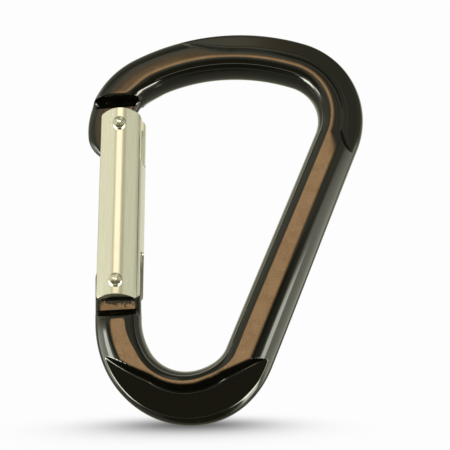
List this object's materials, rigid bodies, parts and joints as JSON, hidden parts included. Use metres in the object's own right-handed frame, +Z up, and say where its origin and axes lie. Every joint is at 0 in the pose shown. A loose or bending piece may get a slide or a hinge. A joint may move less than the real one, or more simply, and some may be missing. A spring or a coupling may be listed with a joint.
{
  "type": "carabiner",
  "caption": "Asymmetric D snap-gate carabiner: forged frame with hollowed bends and a straight bar gate held by rivets, closed by a coil spring and plunger.",
  "frame": {"origin": "under the middle of the frame, at its lowest point, in the mid-plane", "axes": "+Z up along the gate, -Y out of the front face, +X from the gate towards the spine"},
  "size_m": [0.0798, 0.0146, 0.1119],
  "materials": {
    "frame_finish": "gloss black anodised",
    "gate_metal": "satin polished",
    "rivet_steel": "polished",
    "spring_steel": "drawn wire",
    "plunger_steel": "turned"
  },
  "bodies": {
    "body": {"frame": "frame_finish"},
    "gate": {"gate": "gate_metal", "hinge_pin": "rivet_steel", "latch_pin": "rivet_steel", "return_spring": "spring_steel"},
    "follower": {"plunger": "plunger_steel"}
  },
  "joints": [
    {"name": "gate_hinge", "type": "hinge", "parent": "body", "child": "gate", "pos_m": [-0.02945, 0, 0.03925], "axis": [0, 1, 0], "range_deg": [0, 40], "stiffness_Nm_per_rad": 0.35},
    {"name": "plunger_slide", "type": "slide", "parent": "gate", "child": "follower", "axis": [0, 0, 1], "range_m": [0, 0.0026], "deforming": ["return_spring"]}
  ],
  "couplings": [
    {"joint": "plunger_slide", "follows": "gate_hinge", "m_per_rad": 0.0036}
  ]
}
